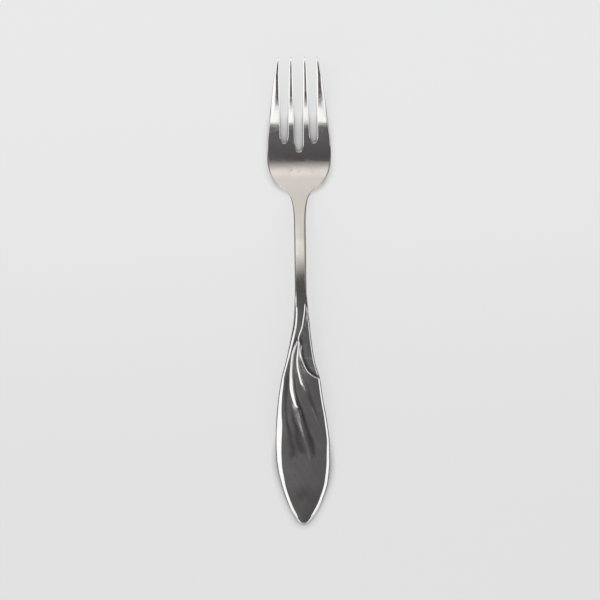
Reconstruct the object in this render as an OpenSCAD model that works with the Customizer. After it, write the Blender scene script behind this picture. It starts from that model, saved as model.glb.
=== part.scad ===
// Dinner fork with four tines and a broad leaf handle with swept folds in relief.
// Lengths are in millimetres and angles in degrees. The tines point to +Y and the butt to -Y,
// up is +Z, and the fork rests on Z = 0 with the middle of its length over the origin.
// It is one forging: the nodes are its working regions, closed solids that meet face to face.

/* [Handle] */
// Length of the handle, from the butt to the neck
handle_len = 94; // [80:1:110]
// Greatest width of the handle
handle_w = 22.2; // [18:0.2:26]
// Thickness of the handle blade between its folds
handle_t = 2.4; // [1.8:0.1:3]
// Thickness of the handle at the butt
butt_t = 1.9; // [1.6:0.1:2.6]
// Length over which the point of the butt is rounded
butt_round = 2.8; // [1.5:0.1:5]
// Crown of the blade across its width
handle_crown = 0.3; // [0:0.05:0.6]
// Greatest width of the bevelled rim on the left side
left_rim_w = 2.2; // [1.4:0.1:3]
// Greatest width of the bevelled rim on the right side
right_rim_w = 1.2; // [0.6:0.1:1.8]
// Slope of both rims
rim_angle = 20; // [10:1:28]
// Width of the rounding outside the rims
rim_round_w = 0.4; // [0.2:0.05:0.6]
// Width of the rounding along the left edge of the stem
stem_round_w = 1.2; // [0.4:0.1:1.5]

/* [Folds] */
// Height of the folds above the blade
fold_h = 0.5; // [0.1:0.05:0.8]
// Width of the rising side of a fold
fold_rise_w = 1.6; // [0.6:0.1:2.4]
// Width of the falling side of a fold, down into its groove
fold_fall_w = 0.45; // [0.2:0.05:0.8]
// Depth of the groove behind a fold
groove_depth = 0.2; // [0:0.05:0.5]
// Depth of the recess behind the lip that crosses to the right edge
recess_depth = 0.5; // [0:0.05:0.7]

/* [Neck] */
// Length of the neck, from the handle to the head
neck_len = 30; // [22:1:40]
// Width of the neck
neck_w = 4.9; // [3.6:0.1:7]
// Thickness of the neck
neck_t = 3.2; // [2.4:0.1:4.2]
// Width of the rounding along the top edges of the neck
neck_round_w = 0.8; // [0.4:0.1:1.5]

/* [Head] */
// Length of the head, from the neck to the line where the tines part
head_len = 27; // [22:1:34]
// Width of the head across its shoulders
head_w = 26.2; // [22:0.2:30]
// Thickness of the head
head_t = 1.9; // [1.6:0.1:2.6]
// Width of the rounding along the top edges of the head
head_round_w = 0.5; // [0.3:0.1:0.8]

/* [Tines] */
// Length from the line where the tines part to their tips
tine_len = 39; // [32:1:48]
// Width over the four tips
tip_span = 16.6; // [14:0.2:19]
// Thickness of the tines at their tips
tip_t = 1.2; // [0.9:0.1:1.8]
// Length over which each tip is rounded to its point
tip_round = 3.6; // [1.5:0.1:6]
// Width of the middle slot at its closed end
middle_slot_w = 3.1; // [2.4:0.1:3.8]
// Width of the two side slots at their closed ends
side_slot_w = 2.8; // [2:0.1:3.4]
// How much each slot widens towards the tips
slot_flare = 1.2; // [0.4:0.1:1.8]
// Distance from the middle of the fork to a side slot at its closed end
side_slot_x = 6.15; // [5.4:0.05:6.8]
// How far the side slots lean inwards over their length
slot_lean = 0.65; // [0:0.05:1.2]
// Distance from the parting line to the end of the middle slot
slot_setback = 0.9; // [0.7:0.1:2]
// How much further out the side slots end than the middle slot
slot_step = 3.5; // [2.8:0.1:6]
// Length over which a slot closes, in half an ellipse
slot_end_len = 4.2; // [2:0.1:6]
// Width of the bevels along the slots
tine_bevel_w = 0.7; // [0.4:0.05:1]
// Slope of the bevels along the tines
tine_bevel_angle = 23; // [12:1:30]
// Width of the flat between the bevels of an outer tine
tine_flat_w = 0.75; // [0.4:0.05:1.4]

/* [Side view] */
// Steepest angle of the neck where it climbs from the head
neck_angle = 17; // [12:1:24]
// Angle at which the tines climb to their tips
tine_angle = 25; // [12:1:32]
// Angle at which the butt lifts clear of the table
butt_angle = 2; // [0:0.5:5]
// Distance from the butt to the place where the handle rests
rest_inset = 9; // [5:1:14]
// Length of the bend above the place where the handle rests
rest_bend = 14; // [8:1:22]
// Length of the arch over the neck
arch_bend = 68; // [50:1:80]
// Length of the bend under the palm of the head
palm_bend = 42; // [32:1:50]
// Depth worn flat where the fork rests
rest_wear = 0.06; // [0.02:0.01:0.1]
// Radius of the back edges
back_edge_r = 0.35; // [0.2:0.05:0.45]

/* [Hidden] */

steel = "#b9bcc0";
steel_light = "#c9ccd0";
steel_dark = "#a3a7ac";

// Share of the palm's bend that lies in the head
palm_bend_share = 0.426;
// Shares of the handle's length where its stem begins, and where its edges turn into those of the neck
stem_share = 0.72;
rim_end_share = 0.9;
// Share of the width that a rounded end keeps as a small blunt face, and of the thickness
butt_blunt_share = 0.4;
tip_blunt_share = 0.25;
butt_t_share = 0.5;
tip_t_share = 0.8;
// Shares of the tines' length, past the closed ends of the slots, where their bevels start and are full
ground_start_share = 0.08;
ground_full_share = 0.45;
// How far a rounding falls, as a share of its width
round_drop_share = 0.85;
// Share of a fall that is an even slope: outside a rim, on other edges, on the two bevels of a tine
rim_slope_share = 0.8;
edge_slope_share = 0.1;
slot_slope_share = 0.7;
outer_slope_share = 0.35;
// Most of the half width that a rounding, or a rim and its rounding, may take
round_limit_share = 0.45;
body_limit_share = 0.62;
// Most of a tine's half width that a bevel along a slot may take
tine_limit_share = 0.7;
// Most of the thickness that a rim may fall, and a rim with its rounding
rim_limit_share = 0.33;
drop_limit_share = 0.45;
// Most of the room before its crest that a fold may take, and behind it for each half of its groove
rise_limit_share = 0.4;
fall_limit_share = 0.16;

// Stations along the fork
fork_len = handle_len + neck_len + head_len + tine_len;
butt_y = -fork_len / 2;
neck_y = butt_y + handle_len;
head_y = neck_y + neck_len;
parting_y = head_y + head_len;
tip_y = parting_y + tine_len;
rest_y = butt_y + rest_inset;
palm_bend_y = parting_y - palm_bend * palm_bend_share;
arch_y = palm_bend_y - arch_bend;

// A slot has the place of its centre at its closed end, a lean, a half width and a closed end
MIDDLE = [0, 0, middle_slot_w / 2, parting_y + slot_setback];
SIDE = [side_slot_x, slot_lean, side_slot_w / 2, parting_y + slot_setback + slot_step];

// A tine lies between two edges. An edge is on the left (-1) or right (1) half of the fork and
// follows a slot, on its side towards the middle (-1) or away from it (1), or else the outline.
OUTLINE = undef;
TINES = [
    [[-1, OUTLINE, 0], [-1, SIDE, 1]],
    [[-1, SIDE, -1], [-1, MIDDLE, 1]],
    [[1, MIDDLE, 1], [1, SIDE, -1]],
    [[1, SIDE, 1], [1, OUTLINE, 0]]
];

// Half widths of the handle beyond the neck, from butt to neck: share of length, share of width
left_outline_shares = [[0, -0.07], [0.062, 0.32], [0.105, 0.52], [0.19, 0.8], [0.28, 0.975], [0.34, 1],
    [0.45, 0.95], [0.54, 0.85], [0.63, 0.69], [0.71, 0.455], [0.8, 0.24], [0.885, 0.085], [1, 0]];
leaf_outline_shares = [[0, -0.07], [0.062, 0.4], [0.105, 0.63], [0.19, 0.915], [0.28, 1], [0.335, 1],
    [0.45, 0.875], [0.54, 0.71], [0.627, 0.585]];
stem_outline_shares = [[0.627, 0.585], [0.712, 0.325], [0.8, 0.195], [0.9, 0.095], [1, 0]];
// Half width of the head beyond the neck, from the neck to the parting line
head_outline_shares = [[0, 0], [0.16, 0.025], [0.3, 0.085], [0.38, 0.175], [0.45, 0.34], [0.526, 0.59],
    [0.6, 0.745], [0.68, 0.86], [0.76, 0.935], [0.86, 0.985], [1, 1]];
// Half width over the tines beyond the tips, from the parting line to the tips
tine_outline_shares = [[0, 1], [0.14, 0.96], [0.25, 0.86], [0.56, 0.56], [0.77, 0.335], [1, 0]];
// Widths of the two rims along the handle
left_rim_shares = [[0, 0.12], [0.02, 0.2], [0.045, 0.48], [0.14, 0.53], [0.2, 0.64], [0.27, 0.8],
    [0.34, 0.93], [0.4, 1], [0.44, 0.93], [0.475, 0.76], [0.51, 0.6], [0.56, 0.48], [0.61, 0.41],
    [0.64, 0.28], [0.7, 0.26], [0.76, 0.36], [0.84, 0.36], [0.9, 0.27], [1, 0.16]];
right_rim_shares = [[0, 0.2], [0.02, 0.35], [0.045, 0.88], [0.1, 0.97], [0.2, 1], [0.27, 0.95], [0.33, 0.8],
    [0.36, 0.65], [0.45, 0.55], [0.55, 0.45], [0.62, 0.4], [0.64, 0.3], [1, 0.25]];

// Crest lines of the folds: share of handle length, share of the width from the left edge
long_fold_shares = [[0, 0.38], [0.3, 0.62], [0.365, 0.575], [0.452, 0.49], [0.5, 0.45], [0.54, 0.395],
    [0.582, 0.345], [0.63, 0.29], [0.69, 0.25], [0.74, 0.24], [0.778, 0.295], [0.8, 0.37], [1, 0.42]];
short_fold_shares = [[0, 0.5], [0.46, 0.75], [0.54, 0.7], [0.6, 0.6], [0.645, 0.51], [0.68, 0.455],
    [0.72, 0.422], [0.77, 0.42], [0.8, 0.44], [1, 0.5]];
lip_shares = [[0, 0.62], [0.3, 0.82], [0.6, 0.89], [0.628, 0.92], [0.637, 0.88], [0.65, 0.8], [0.667, 0.725],
    [0.688, 0.655], [0.715, 0.585], [0.75, 0.515], [0.79, 0.485], [0.835, 0.53], [0.9, 0.72], [1, 0.78]];
// Height of each fold along the handle, and depths of the grooves behind the folds and the lip
long_fold_h_shares = [[0, 0], [0.29, 0], [0.4, 0.3], [0.5, 0.5], [0.53, 1], [0.6, 1], [0.72, 0.8],
    [0.79, 0.1], [0.81, 0], [1, 0]];
short_fold_h_shares = [[0, 0], [0.54, 0], [0.58, 0.6], [0.64, 0.75], [0.72, 0.7], [0.79, 0], [1, 0]];
lip_h_shares = [[0, 0], [0.62, 0], [0.64, 0.24], [0.74, 0.24], [0.8, 0.2], [0.9, 0.2], [0.97, 0], [1, 0]];
recess_shares = [[0, 0], [0.62, 0], [0.645, 0.75], [0.68, 1], [0.73, 0.95], [0.79, 0.4], [0.83, 0.1],
    [0.9, 0], [1, 0]];

// Columns and rows of the surface
round_column_shares = [0, 0.35, 1];
rim_column_shares = [0.5, 1];
edge_column_shares = [0, 0.12, 0.4, 1];
slot_row_shares = [0.9, 0.5, 0.2];
BUTT_ROWS = 7;
HANDLE_ROWS = 84;
NECK_ROWS = 20;
HEAD_ROWS = 26;
SLOT_ROWS = 6;
TINE_ROWS = 13;
TIP_ROWS = 6;

// Curves

// Rises smoothly from 0 to 1 while y goes from a to b
function ease(y, a, b) = let (s = min(1, max(0, (y - a) / (b - a)))) s * s * (3 - 2 * s);

// Goes smoothly from value p to value q while y goes from a to b
function blend(p, q, y, a, b) = p + (q - p) * ease(y, a, b);

// Area under ease, which is the height that a bend of slope 1 has gained at y
function ease_area(y, a, b) =
    let (s = min(1, max(0, (y - a) / (b - a))))
    (b - a) * (s * s * s - s * s * s * s / 2) + max(0, y - b);

// Where ease reaches a value, as a share of the way
function ease_inverse(v) = 0.5 - sin(asin(1 - 2 * v) / 3);

// Smooth curve through rows of [place, value] that never overshoots them
function secant(rows, i) = (rows[i + 1][1] - rows[i][1]) / (rows[i + 1][0] - rows[i][0]);
function tangent(rows, i) =
    i == 0 ? secant(rows, 0)
    : i == len(rows) - 1 ? secant(rows, i - 1)
    : let (a = secant(rows, i - 1), b = secant(rows, i))
      a * b <= 0 ? 0 : 2 * a * b / (a + b);
function curve(rows, s, i = 0) =
    i < len(rows) - 2 && s > rows[i + 1][0] ? curve(rows, s, i + 1)
    : let (
        w = rows[i + 1][0] - rows[i][0],
        t = min(1, max(0, (s - rows[i][0]) / w)),
        t2 = t * t,
        t3 = t2 * t
      )
      rows[i][1] * (1 - 3 * t2 + 2 * t3) + rows[i + 1][1] * (3 * t2 - 2 * t3)
      + w * (tangent(rows, i) * (t - 2 * t2 + t3) + tangent(rows, i + 1) * (t3 - t2));

// Size of a rounded end at a share of its length: from the smallest share up to 1
function rounded(smallest, s) = smallest + (1 - smallest) * sqrt(1 - pow(1 - min(1, max(0, s)), 2));

// How far a surface falls at a gap from its edge: an even slope mixed with a quarter round
function fall(gap, width, drop, slope_share) =
    gap >= width ? 0
    : let (q = 1 - max(0, gap) / width)
      drop * (slope_share * q + (1 - slope_share) * (1 - sqrt(1 - q * q)));

// How far it falls on a flat bevel
function bevel(gap, width, drop) = drop * (1 - min(1, max(0, gap / width)));

// Side view

neck_slope = tan(neck_angle);
tine_slope = tan(tine_angle);
palm_y = palm_bend_y + palm_bend * ease_inverse(neck_slope / (neck_slope + tine_slope));

// Heights gained by the bends, each for a slope of 1
function rest_gain(y) = ease_area(y, rest_y, rest_y + rest_bend);
function arch_gain(y) = ease_area(y, arch_y, arch_y + arch_bend);
function palm_gain(y) = ease_area(y, palm_bend_y, palm_bend_y + palm_bend);
function butt_gain(y) = ease_area(-y, -rest_y, -butt_y);

// The handle falls at the slope that brings its back down to the table
handle_slope = (neck_slope * arch_gain(palm_y) - (neck_slope + tine_slope) * palm_gain(palm_y))
    / (rest_gain(palm_y) - arch_gain(palm_y));

// Height of the back before it is worn flat
function rise(y) = handle_slope * rest_gain(y) - (handle_slope + neck_slope) * arch_gain(y)
    + (neck_slope + tine_slope) * palm_gain(y) + tan(butt_angle) * butt_gain(y);
function back_z(y) = rise(y) - rise(palm_y) - rest_wear;

// Thickness, from the butt through the neck to the tips
function thickness(y) = butt_t
    + (handle_t - butt_t) * ease(y, butt_y, butt_y + handle_len / 3)
    + (neck_t - handle_t) * ease(y, neck_y - handle_len / 2, neck_y)
    + (head_t - neck_t) * ease(y, head_y - neck_len / 3, parting_y - head_len / 4)
    + (tip_t - head_t) * ease(y, parting_y, tip_y);

// Plan view

neck_half = neck_w / 2;
function handle_share(y) = (y - butt_y) / handle_len;
function butt_end(y, smallest) = rounded(smallest, (y - butt_y) / butt_round);
function handle_half(y, rows) =
    butt_end(y, butt_blunt_share) * (neck_half + (handle_w / 2 - neck_half) * curve(rows, handle_share(y)));
function left_half(y) = handle_half(y, left_outline_shares);
// The leaf meets the stem in a small corner on the right edge
function right_half(y) =
    handle_half(y, handle_share(y) < stem_outline_shares[0][0] ? leaf_outline_shares : stem_outline_shares);
function head_half(y) =
    neck_half + (head_w / 2 - neck_half) * curve(head_outline_shares, (y - head_y) / head_len);
function tines_half(y) =
    tip_span / 2 + (head_w - tip_span) / 2 * curve(tine_outline_shares, (y - parting_y) / tine_len);

function slot_share(y) = max(0, (y - parting_y) / tine_len);
function slot_x(slot, y) = slot[0] - slot[1] * slot_share(y);
function slot_full(slot, y) = slot[2] + slot_flare / 2 * pow(slot_share(y), 1.5);
// How much of the slot's end is still closed at y: 1 before it, 0 where the slot has its full width
function slot_closed(slot, y) = min(1, max(0, 1 - (y - slot[3]) / slot_end_len));
function slot_half(slot, y) = sqrt(1 - pow(slot_closed(slot, y), 2)) * slot_full(slot, y);
// Distance from a place in the right half to the edge of a slot, near enough for a narrow edge
function slot_gap(slot, x, y) =
    let (
        half = slot_full(slot, y),
        away = abs(x - slot_x(slot, y)) / half,
        under = min(0, y - slot[3] - slot_end_len) / slot_end_len,
        reach = norm([away, under])
    )
    reach == 0 ? -half : (reach - 1) * reach / norm([away / half, under / slot_end_len]);

function edge_x(edge, y) =
    edge[0] * (edge[1] == OUTLINE ? tines_half(y) : slot_x(edge[1], y) + edge[2] * slot_half(edge[1], y));
// 1 on a free edge, 0 where the metal runs on below the end of a slot
function edge_open(edge, y) = edge[1] == OUTLINE || y > edge[1][3] ? 1 : 0;

// Cross sections

// Places across a section: two edges of given widths, with even columns between them
function across(left, right, left_w, right_w, inner) = concat(
    [for (k = edge_column_shares) left + k * left_w],
    [for (i = [1:inner]) left + left_w + (right - left - left_w - right_w) * i / (inner + 1)],
    [for (i = [1:len(edge_column_shares)]) right - edge_column_shares[len(edge_column_shares) - i] * right_w]
);

// Closed ring of a section: the top from left to right, then the back from right to left
function ring(y, top, left, right, left_open = 1, right_open = 1) =
    let (
        z = max(0, back_z(y)),
        r = min(back_edge_r, (right - left) / 4),
        count = len(edge_column_shares),
        side = [for (k = edge_column_shares) [k * r, fall(k * r, r, r, 0)]]
    )
    concat(
        [for (p = top) [p[0], y, p[1]]],
        [for (p = side) [right - p[0], y, z + right_open * p[1]]],
        [for (i = [1:count]) let (p = side[count - i]) [left + p[0], y, z + left_open * p[1]]]
    );

// Closed solid through rings of equal count, each end closed round the middle of its ring
function middle(points) = [for (k = [0:2]) let (v = [for (p = points) p[k]]) (min(v) + max(v)) / 2];
module loft(rings) {
    n = len(rings[0]);
    last = len(rings) - 1;
    points = concat([for (r = rings) each r], [middle(rings[0]), middle(rings[last])]);
    sides = [for (i = [0:last - 1], j = [0:n - 1])
        let (a = i * n + j, b = i * n + (j + 1) % n) each [[a, a + n, b + n], [a, b + n, b]]];
    centre = n * (last + 1);
    ends = [for (j = [0:n - 1])
        let (k = (j + 1) % n) each [[centre, j, k], [centre + 1, last * n + k, last * n + j]]];
    polyhedron(points, concat(sides, ends), convexity = 8);
}

// Handle

stem_y = butt_y + handle_len * stem_share;
rim_end_y = butt_y + handle_len * rim_end_share;
function handle_t_at(y) = thickness(y) * butt_end(y, butt_t_share);

// A side of the handle has a rounding along its edge and a rim inside it, which fades out at the neck
function to_neck(value, y) = blend(value, neck_round_w, y, rim_end_y, neck_y);
function left_round(y) =
    min(left_half(y) * round_limit_share, to_neck(blend(rim_round_w, stem_round_w, y, stem_y, rim_end_y), y));
function right_round(y) = min(right_half(y) * round_limit_share, to_neck(rim_round_w, y));
function left_rim(y) =
    let (widest = left_half(y) * body_limit_share - left_round(y))
    min(widest, left_rim_w * curve(left_rim_shares, handle_share(y)));
function right_rim(y) =
    let (widest = right_half(y) * body_limit_share - right_round(y))
    min(widest, right_rim_w * curve(right_rim_shares, handle_share(y)));

function side_fall(gap, y, round_w, rim_w) =
    let (
        t = handle_t_at(y),
        rim_fall = min(t * rim_limit_share, tan(rim_angle) * rim_w) * (1 - ease(y, rim_end_y, neck_y)),
        round_fall = min(t * drop_limit_share - rim_fall, round_drop_share * round_w)
    )
    bevel(gap - round_w, rim_w, rim_fall)
    + fall(gap, round_w, round_fall, blend(rim_slope_share, edge_slope_share, y, rim_end_y, neck_y));

// One fold as columns of [place, height]: foot, flank, crest, groove and the far side of the groove.
// It is narrowed to fit the room before and after its crest.
function fold(crest, before, after, height, depth) =
    let (
        rise_w = min(fold_rise_w, before * rise_limit_share),
        fall_w = min(fold_fall_w, after * fall_limit_share)
    )
    [[crest - rise_w, 0], [crest - rise_w / 2, height * 0.4], [crest, height],
     [crest + fall_w, -depth], [crest + 2 * fall_w, -depth * 0.4]];
function between(p, q) = [(p + q) / 2];

// Distances from an edge to the columns of its rounding and rim
function side_columns(round_w, rim_w) =
    concat(round_column_shares * round_w, [for (k = rim_column_shares) round_w + k * rim_w]);

// Columns of [place, height of the relief] across the handle
function handle_columns(y, left, right) =
    let (
        s = handle_share(y),
        span = right - left,
        left_side = side_columns(left_round(y), left_rim(y)),
        right_side = side_columns(right_round(y), right_rim(y)),
        last = len(left_side) - 1,
        a = left + left_side[last],
        b = right - right_side[last],
        crest_1 = left + span * curve(long_fold_shares, s),
        crest_2 = left + span * curve(short_fold_shares, s),
        crest_3 = min(left + span * curve(lip_shares, s), b - span / 50),
        room_1 = crest_2 - crest_1,
        room_2 = crest_3 - crest_2,
        long_h = curve(long_fold_h_shares, s),
        short_h = curve(short_fold_h_shares, s),
        fold_1 = fold(crest_1, crest_1 - a, room_1, fold_h * long_h, groove_depth * long_h),
        fold_2 = fold(crest_2, room_1, room_2, fold_h * short_h, groove_depth * short_h),
        lip = fold(crest_3, room_2, b - crest_3, fold_h * curve(lip_h_shares, s),
            recess_depth * curve(recess_shares, s))
    )
    concat(
        [for (d = left_side) [left + d, 0]],
        between([a, 0], fold_1[0]), fold_1,
        between(fold_1[4], fold_2[0]), fold_2,
        between(fold_2[4], lip[0]), lip,
        between(lip[4], [b, 0]),
        [for (i = [0:last]) [right - right_side[last - i], 0]]
    );

function crown(x, y, left, right) =
    let (u = (2 * x - left - right) / (right - left))
    handle_crown * butt_end(y, 0) * (1 - ease(y, rim_end_y, neck_y)) * u * u;
function handle_top(y, left, right) =
    [for (c = handle_columns(y, left, right)) let (x = c[0]) [x, back_z(y) + handle_t_at(y) + c[1]
        - crown(x, y, left, right)
        - side_fall(x - left, y, left_round(y), left_rim(y))
        - side_fall(right - x, y, right_round(y), right_rim(y))]];

handle_rows = concat(
    [for (i = [0:BUTT_ROWS - 1]) butt_y + butt_round * (1 - cos(90 * i / BUTT_ROWS))],
    [for (i = [0:HANDLE_ROWS]) butt_y + butt_round + (handle_len - butt_round) * i / HANDLE_ROWS]
);

module handle() {
    color(steel) loft([for (y = handle_rows) let (left = -left_half(y), right = right_half(y))
        ring(y, handle_top(y, left, right), left, right)]);
}

// Neck and head

function plain_top(y, half, edge_w, drop, inner) =
    [for (x = across(-half, half, edge_w, edge_w, inner))
        [x, back_z(y) + thickness(y) - fall(half - abs(x), edge_w, drop, edge_slope_share)]];

neck_drop = neck_round_w * round_drop_share;
head_drop = head_round_w * round_drop_share;

module neck() {
    color(steel_dark) loft([for (i = [0:NECK_ROWS]) let (y = neck_y + neck_len * i / NECK_ROWS)
        ring(y, plain_top(y, neck_half, neck_round_w, neck_drop, 3), -neck_half, neck_half)]);
}

// The rounding is measured square to the outline, so it is wider across a sloping shoulder
head_step = head_len / HEAD_ROWS;
function head_slope(y) = (head_half(y + head_step / 2) - head_half(y - head_step / 2)) / head_step;
head_full_y = head_y + head_len / 2;
function head_edge_w(y) = min(head_half(y) * round_limit_share,
    norm([1, head_slope(y)]) * blend(neck_round_w, head_round_w, y, head_y, head_full_y));

module head() {
    color(steel) loft([for (i = [0:HEAD_ROWS]) let (
        y = head_y + head_step * i,
        half = head_half(y),
        drop = blend(neck_drop, head_drop, y, head_y, head_full_y)
    ) ring(y, plain_top(y, half, head_edge_w(y), drop, 5), -half, half)]);
}

// Tines

// Rows follow the closed ends of both kinds of slot, then the blade, then the tip
function slot_rows(slot) = concat(
    [for (k = slot_row_shares) slot[3] - head_round_w * k],
    [for (i = [0:SLOT_ROWS]) slot[3] + slot_end_len * (1 - cos(90 * i / SLOT_ROWS))]
);
side_rows = slot_rows(SIDE);
blade_y = SIDE[3] + slot_end_len;
tip_start_y = tip_y - tip_round;
tine_rows = concat(
    [parting_y],
    [for (y = slot_rows(MIDDLE)) if (y < side_rows[0]) y],
    side_rows,
    [for (i = [1:TINE_ROWS]) blade_y + (tip_start_y - blade_y) * i / TINE_ROWS],
    [for (i = [1:TIP_ROWS]) tip_start_y + tip_round * sin(90 * i / TIP_ROWS)]
);

function tip_end(y, smallest) = rounded(smallest, (tip_y - y) / tip_round);

// The small rounding round the closed ends grows into the bevels of the tines
function ground(head_value, tine_value, y) = blend(head_value, tine_value, y,
    blade_y + tine_len * ground_start_share, blade_y + tine_len * ground_full_share);
function tine_drop(y, width) = min(thickness(y) * tip_end(y, tip_t_share) * drop_limit_share,
    width * ground(round_drop_share, tan(tine_bevel_angle), y));
function slot_bevel_w(y, w) = min(w / 2 * tine_limit_share, ground(head_round_w, tine_bevel_w, y));
// The bevel along the outline takes what the flat and the other bevel leave
function outer_bevel_w(y, w, slot_w) = ground(slot_w, max(slot_w, w - slot_w - tine_flat_w), y);

// A place x lies in the right half, and each tip is trimmed on both sides
function tine_fall(x, y, trim, slot_w, outer_w) =
    fall(min(slot_gap(MIDDLE, x, y), slot_gap(SIDE, x, y)) - trim, slot_w, tine_drop(y, slot_w),
        ground(edge_slope_share, slot_slope_share, y))
    + fall(tines_half(y) - x - trim, outer_w, tine_drop(y, outer_w),
        ground(edge_slope_share, outer_slope_share, y));

module tine(number, inner) {
    edge_a = TINES[number - 1][0];
    edge_b = TINES[number - 1][1];
    loft([for (y = tine_rows) let (
        a = edge_x(edge_a, y),
        b = edge_x(edge_b, y),
        trim = (1 - tip_end(y, tip_blunt_share)) * (b - a) / 2,
        left = a + trim,
        right = b - trim,
        slot_w = slot_bevel_w(y, right - left),
        outer_w = outer_bevel_w(y, right - left, slot_w),
        left_w = edge_a[1] == OUTLINE ? outer_w : slot_w,
        right_w = edge_b[1] == OUTLINE ? outer_w : slot_w,
        z = back_z(y) + thickness(y) * tip_end(y, tip_t_share),
        top = [for (x = across(left, right, left_w, right_w, inner))
            [x, z - tine_fall(abs(x), y, trim, slot_w, outer_w)]]
    ) ring(y, top, left, right, edge_open(edge_a, y), edge_open(edge_b, y))]);
}

module tine_1() { color(steel_light) tine(1, 3); }
module tine_2() { color(steel_dark) tine(2, 1); }
module tine_3() { color(steel_dark) tine(3, 1); }
module tine_4() { color(steel_light) tine(4, 3); }

handle();
neck();
head();
tine_1();
tine_2();
tine_3();
tine_4();
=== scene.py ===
# Dinner fork of polished stainless steel, with swept folds in relief on its leaf handle.
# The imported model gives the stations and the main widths. The skins below repeat the curves of the
# part's source in fine rows and columns, so that the polished surface reflects without a facet.
# The folds and a few roundings are worked finer here than in the source.
# Curves are worked out in millimetres and turned into metres when a mesh is made.
import math
from collections import namedtuple

import bpy
import numpy as np
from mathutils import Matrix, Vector


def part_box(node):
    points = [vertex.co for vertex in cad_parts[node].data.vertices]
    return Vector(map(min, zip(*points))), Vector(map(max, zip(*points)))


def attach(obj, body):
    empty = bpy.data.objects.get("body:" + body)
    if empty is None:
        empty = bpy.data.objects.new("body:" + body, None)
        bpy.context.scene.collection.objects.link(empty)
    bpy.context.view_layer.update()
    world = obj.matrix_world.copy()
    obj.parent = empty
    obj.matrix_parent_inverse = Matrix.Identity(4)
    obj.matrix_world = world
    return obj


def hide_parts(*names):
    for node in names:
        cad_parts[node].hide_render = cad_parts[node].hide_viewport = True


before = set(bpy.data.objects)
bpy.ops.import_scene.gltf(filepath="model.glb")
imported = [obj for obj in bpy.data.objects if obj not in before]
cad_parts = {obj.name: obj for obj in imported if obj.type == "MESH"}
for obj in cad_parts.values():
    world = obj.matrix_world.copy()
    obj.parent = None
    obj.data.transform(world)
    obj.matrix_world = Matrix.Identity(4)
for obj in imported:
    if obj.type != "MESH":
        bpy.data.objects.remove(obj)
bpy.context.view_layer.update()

MM = 0.001

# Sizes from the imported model


def box_mm(node):
    low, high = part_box(node)
    return np.array(low) / MM, np.array(high) / MM


handle_low, handle_high = box_mm("handle")
neck_low, neck_high = box_mm("neck")
head_low, head_high = box_mm("head")
tine_low, tine_high = box_mm("tine_4")
butt_y = handle_low[1]
neck_y = neck_low[1]
head_y = head_low[1]
parting_y = tine_low[1]
tip_y = tine_high[1]
handle_len = neck_y - butt_y
neck_len = head_y - neck_y
head_len = parting_y - head_y
tine_len = tip_y - parting_y
handle_w = handle_high[0] - handle_low[0]
neck_w = neck_high[0] - neck_low[0]
head_w = head_high[0] - head_low[0]

# Sizes of the part's source that no box gives, in millimetres and degrees
handle_t = 2.4
butt_t = 1.9
butt_round = 2.8
handle_crown = 0.3
left_rim_w = 2.2
right_rim_w = 1.2
rim_slope = math.tan(math.radians(20))
rim_round_w = 0.4
neck_t = 3.2
neck_round_w = 0.8
head_t = 1.9
head_round_w = 0.5
tip_span = 16.6
tip_t = 1.2
tip_round = 3.6
middle_slot_w = 3.1
side_slot_w = 2.8
slot_flare = 1.2
side_slot_x = 6.15
slot_lean = 0.65
slot_setback = 0.9
slot_step = 3.5
slot_end_len = 4.2
tine_bevel_w = 0.7
tine_bevel_slope = math.tan(math.radians(23))
tine_flat_w = 0.75
neck_slope = math.tan(math.radians(17))
tine_slope = math.tan(math.radians(25))
butt_slope = math.tan(math.radians(2))
rest_inset = 9
rest_bend = 14
arch_bend = 68
palm_bend = 42
rest_wear = 0.06
back_edge_r = 0.35
palm_bend_share = 0.426
stem_share = 0.72
rim_end_share = 0.9
butt_blunt_share = 0.4
tip_blunt_share = 0.25
butt_t_share = 0.5
tip_t_share = 0.8
ground_start_share = 0.08
ground_full_share = 0.45
round_drop_share = 0.85
rim_slope_share = 0.8
edge_slope_share = 0.1
slot_slope_share = 0.7
outer_slope_share = 0.35
round_limit_share = 0.45
body_limit_share = 0.62
tine_limit_share = 0.7
rim_limit_share = 0.33
drop_limit_share = 0.45

# Roundings finer than in the source: the stem's left edge, the top edge of the butt, the closed end of
# a slot (2 is an ellipse), the crown of the neck and how far it fades, and where the rims are gone
stem_round_w = 0.9
butt_top_round = 0.8
slot_oval = 2.35
neck_crown = 0.1
neck_crown_len = 8
rim_gone_share = 0.96

rest_y = butt_y + rest_inset
palm_bend_y = parting_y - palm_bend * palm_bend_share
arch_y = palm_bend_y - arch_bend
stem_y = butt_y + handle_len * stem_share
rim_end_y = butt_y + handle_len * rim_end_share
rim_gone_y = butt_y + handle_len * rim_gone_share

# Outlines, as in the part's source
left_outline_shares = [[0, -0.07], [0.062, 0.32], [0.105, 0.52], [0.19, 0.8], [0.28, 0.975], [0.34, 1],
    [0.45, 0.95], [0.54, 0.85], [0.63, 0.69], [0.71, 0.455], [0.8, 0.24], [0.885, 0.085], [1, 0]]
leaf_outline_shares = [[0, -0.07], [0.062, 0.4], [0.105, 0.63], [0.19, 0.915], [0.28, 1], [0.335, 1],
    [0.45, 0.875], [0.54, 0.71], [0.627, 0.585]]
stem_outline_shares = [[0.627, 0.585], [0.712, 0.325], [0.8, 0.195], [0.9, 0.095], [1, 0]]
head_outline_shares = [[0, 0], [0.16, 0.025], [0.3, 0.085], [0.38, 0.175], [0.45, 0.34], [0.526, 0.59],
    [0.6, 0.745], [0.68, 0.86], [0.76, 0.935], [0.86, 0.985], [1, 1]]
tine_outline_shares = [[0, 1], [0.14, 0.96], [0.25, 0.86], [0.56, 0.56], [0.77, 0.335], [1, 0]]
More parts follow.
